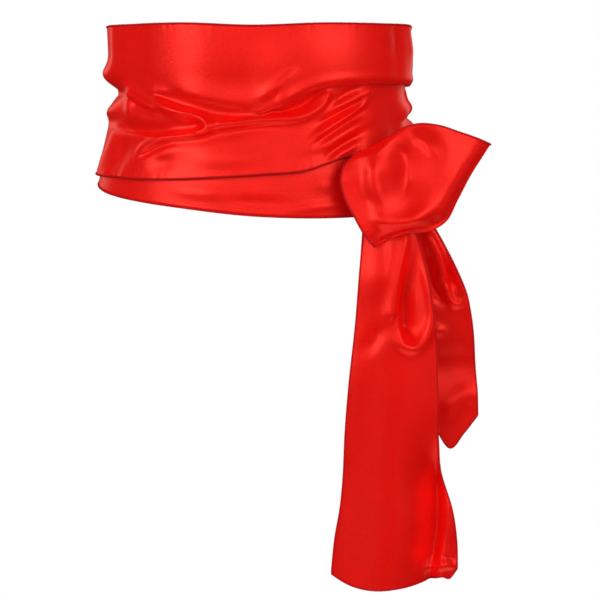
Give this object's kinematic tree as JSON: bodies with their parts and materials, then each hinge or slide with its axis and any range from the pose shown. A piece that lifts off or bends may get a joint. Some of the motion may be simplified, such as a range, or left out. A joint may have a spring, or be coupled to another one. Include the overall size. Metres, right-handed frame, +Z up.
{
  "type": "waist scarf",
  "caption": "Satin sash scarf wound twice round a waist and tied at one hip in a half bow, with one loop, a long front tail and a short back tail.",
  "frame": {"origin": "middle of the waist that the scarf is worn on, at the waistline, inside the wound turns", "axes": "+Z up along the wearer's trunk, -Y the wearer's front, +X the hip that the knot is tied at"},
  "size_m": [0.328, 0.2143, 0.4645],
  "materials": {
    "turn_inner_satin": "red satin, soft sheen",
    "turn_outer_satin": "red satin, soft sheen",
    "knot_satin": "red satin, soft sheen",
    "loop_satin": "red satin, soft sheen",
    "tail_front_satin": "red satin, soft sheen",
    "tail_back_satin": "red satin, soft sheen"
  },
  "bodies": {
    "root": {"turn_inner": "turn_inner_satin", "turn_outer": "turn_outer_satin", "knot": "knot_satin", "loop": "loop_satin", "tail_front": "tail_front_satin", "tail_back": "tail_back_satin"}
  },
  "joints": []
}
